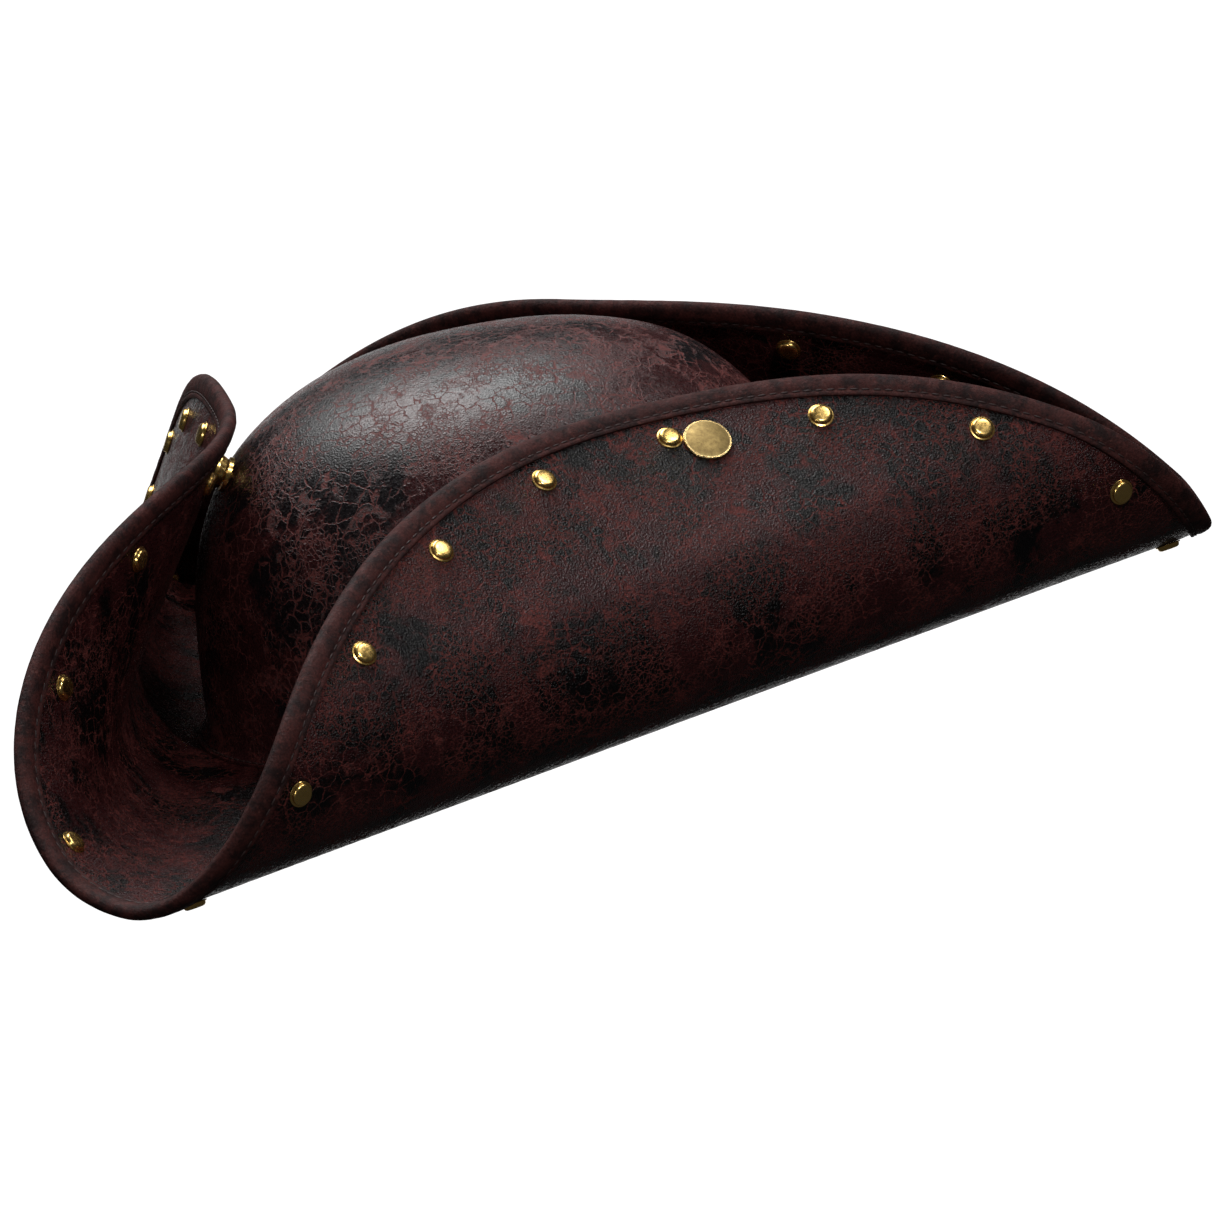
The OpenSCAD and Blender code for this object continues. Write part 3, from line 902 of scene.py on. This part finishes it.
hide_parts("sweatband")
print("sweatband faces", len(band.data.polygons))

# %% [markdown]
# ## The bow
# The band's ends meet at the back under a small flat bow: two loops of ribbon and a knot. It is too
# small for a cloth simulation to be worth it. Each loop is a short tube, squeezed flat towards the
# knot, and the knot is a cube rounded by subdivision.

# %% Bow
BOW_X = -band_in + 2.2 * MM
BOW_Z = BAND_H - 9 * MM
LOOP_LENGTH = 10.5 * MM
LOOP_MIDDLE = 6.5 * MM
LOOP_FROM = 1.2 * MM
LOOP_R = 4 * MM
LOOP_DEPTH = 6 * MM
RIBBON_T = 0.5 * MM
KNOT = 3.4 * MM
bow_parts = []
for side in (-1, 1):
    bpy.ops.object.select_all(action="DESELECT")
    bpy.ops.mesh.primitive_cylinder_add(vertices=32, radius=LOOP_R, depth=LOOP_DEPTH,
                                        end_fill_type="NOTHING",
                                        location=(BOW_X, side * LOOP_MIDDLE, BOW_Z))
    loop = bpy.context.active_object
    bpy.ops.object.transform_apply(location=True)
    edit(loop)
    bpy.ops.mesh.subdivide(number_cuts=4)
    done(loop)
    for vertex in loop.data.vertices:
        out = abs(vertex.co.y) / LOOP_LENGTH
        vertex.co.y = side * (LOOP_FROM + out * LOOP_LENGTH)
        vertex.co.x = BOW_X + (vertex.co.x - BOW_X) * (0.12 + 0.30 * out)
        vertex.co.z = BOW_Z + (vertex.co.z - BOW_Z) * (0.30 + 0.85 * out)
    modify(loop, "SOLIDIFY", thickness=RIBBON_T, offset=0)
    bow_parts.append(outward(loop))
bpy.ops.object.select_all(action="DESELECT")
bpy.ops.mesh.primitive_cube_add(size=KNOT, location=(BOW_X, 0, BOW_Z))
knot = bpy.context.active_object
bpy.ops.object.transform_apply(location=True)
modify(knot, "SUBSURF", levels=3, render_levels=3)
bow_parts.append(knot)
only(knot)
for part in bow_parts:
    part.select_set(True)
bpy.ops.object.join()
bow = bpy.context.active_object
bow.name = "ribbon_bow"
bow_weave = bow.data.uv_layers.new(name="weave")
for loop in bow.data.loops:
    spot = bow.data.vertices[loop.vertex_index].co
    bow_weave.data[loop.index].uv = (spot.y, spot.z)
smooth(bow, 50)
dress(bow, LINING)
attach(bow, ROOT)
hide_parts("sweatband_bow")
print("bow faces", len(bow.data.polygons))

# %% [markdown]
# ## Rivets
# Each rivet shows a cap on both faces: a thin lip, a rounded shoulder and a flat top. The frame's own
# caps could be kept, but they are plainer than that. So one cap is turned with its
# full profile and copied to every place on both faces. The caps are grouped by the body that they
# sit on, so they swing with their flap.

# %% Rivets
RIVET_COUNT = 27
RIVET_R = BRIM_R - 15 * MM
FIRST_RIVET = -120
cap_profile = [(0, 0), (3.3, 0), (3.95, 0.05), (4.0, 0.22), (3.9, 0.38), (3.5, 0.5), (3.42, 0.75),
               (3.35, 1.05), (3.12, 1.4), (2.75, 1.63), (2.3, 1.72), (1.2, 1.76), (0, 1.77)]
rivet_cap = turned("rivet_cap", [(r * MM, z * MM) for r, z in cap_profile], 32)


def on_face(radius, degrees, face):
    """Turns +Z to the brim's inner face (face = 1) or outer face (face = -1) there."""
    middle, edgeward, normal = brim_frame(radius, degrees)
    up = normal * face
    turn = Matrix((edgeward, up.cross(edgeward), up)).transposed().to_4x4()
    return Matrix.Translation(middle + up * BRIM_T / 2) @ turn


def body_of_rivet(degrees):
    if folded(polar(RIVET_R, degrees)).z <= HINGE_Z:
        return "corner"
    turn = [abs((degrees - flap["dir"] + 540) % 360 - 180) for flap in FLAPS]
    return FLAPS[turn.index(min(turn))]["name"]


rivet_turns = [FIRST_RIVET + 360 * k / RIVET_COUNT for k in range(RIVET_COUNT)]
for group in ("corner", "near", "far", "side"):
    spots = [degrees for degrees in rivet_turns if body_of_rivet(degrees) == group]
    for face, where, node in ((-1, "outer", "caps"), (1, "inner", "backs")):
        places = [on_face(RIVET_R, degrees, face) for degrees in spots]
        caps = copied(f"{group}_{where}_rivets", rivet_cap, places)
        smooth(caps, 35)
        dress(caps, GOLD)
        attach(caps, ROOT if group == "corner" else group + "_flap")
        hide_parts(f"{group}_rivet_{node}")
    print(group, "rivets", len(spots))
discard(rivet_cap)

# %% [markdown]
# ## Press studs
# The caps on the flaps are wide, slightly domed discs with a rolled rim. A flattened sphere would have
# no rim, so the cap is turned from its profile. The rim's points carry the attribute that the brass
# reads. The sockets and studs behind the caps keep their shape from the frame.

# %% Press-stud caps
SNAP_R = BRIM_R - 19 * MM
stud_profile = [(0, 0), (6.6, 0), (7.3, 0.1), (7.5, 0.5), (7.45, 0.9), (7.2, 1.15), (6.9, 1.2),
                (6.6, 1.22), (6.2, 1.35), (4.5, 1.85), (2.4, 2.2), (0, 2.3)]
RIM_FROM = 6.75 * MM
snap_cap = turned("snap_cap", [(r * MM, z * MM) for r, z in stud_profile], 56)
rim = snap_cap.data.attributes.new(name="rim", type="FLOAT", domain="POINT")
for vertex in snap_cap.data.vertices:
    rim.data[vertex.index].value = 1.0 if vertex.co.xy.length > RIM_FROM else 0.0
for flap in FLAPS:
    degrees = flap["dir"] + math.degrees(math.asin(flap["stud"] / SNAP_R))
    cap = copied(flap["name"] + "_press_stud_cap", snap_cap, [on_face(SNAP_R, degrees, -1)])
    smooth(cap, 35)
    dress(cap, ANTIQUE)
    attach(cap, flap["name"] + "_flap")
    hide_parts(flap["name"] + "_snap_cap")
discard(snap_cap)
print("press-stud caps ready")

# %% [markdown]
# ## What stands for what
# The brim sectors and bindings stand for the plain solids of the frame: the seat, the flaps, the
# bindings and the wires that the bindings hide. The frame nodes that are left have plain shapes that
# are right already, so they aren't modelled again and only get their finishes.

# %% Frame nodes
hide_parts("near_flap", "brim_seat")
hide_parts("far_flap")
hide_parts("side_flap")
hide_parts("near_flap_binding", "near_flap_wire", "near_corner_binding",
            "corner_wires")
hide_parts("far_flap_binding", "far_flap_wire", "front_corner_binding")
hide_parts("side_flap_binding", "side_flap_wire", "far_corner_binding")


def buckram():
    b = Bench("buckram")
    return b.finish(b.mix(b.noise(900, 3), (0.55, 0.50, 0.40), (0.40, 0.36, 0.28)),
                    b.ramp(b.noise(400, 3), 0.3, 0.7, 0.8, 0.95), b.noise(1500, 2), 0.0002)


NODE_FINISH = {"crown_stiffener": buckram(), "snap_stud_posts": GOLD}
for flap in FLAPS:
    NODE_FINISH[flap["name"] + "_snap_socket"] = GOLD
    NODE_FINISH[flap["name"] + "_snap_stud"] = GOLD
for name, material in NODE_FINISH.items():
    dress(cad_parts[name], material)
print("dressed nodes", sorted(NODE_FINISH))

# %% Clear the selection
bpy.ops.object.select_all(action="DESELECT")
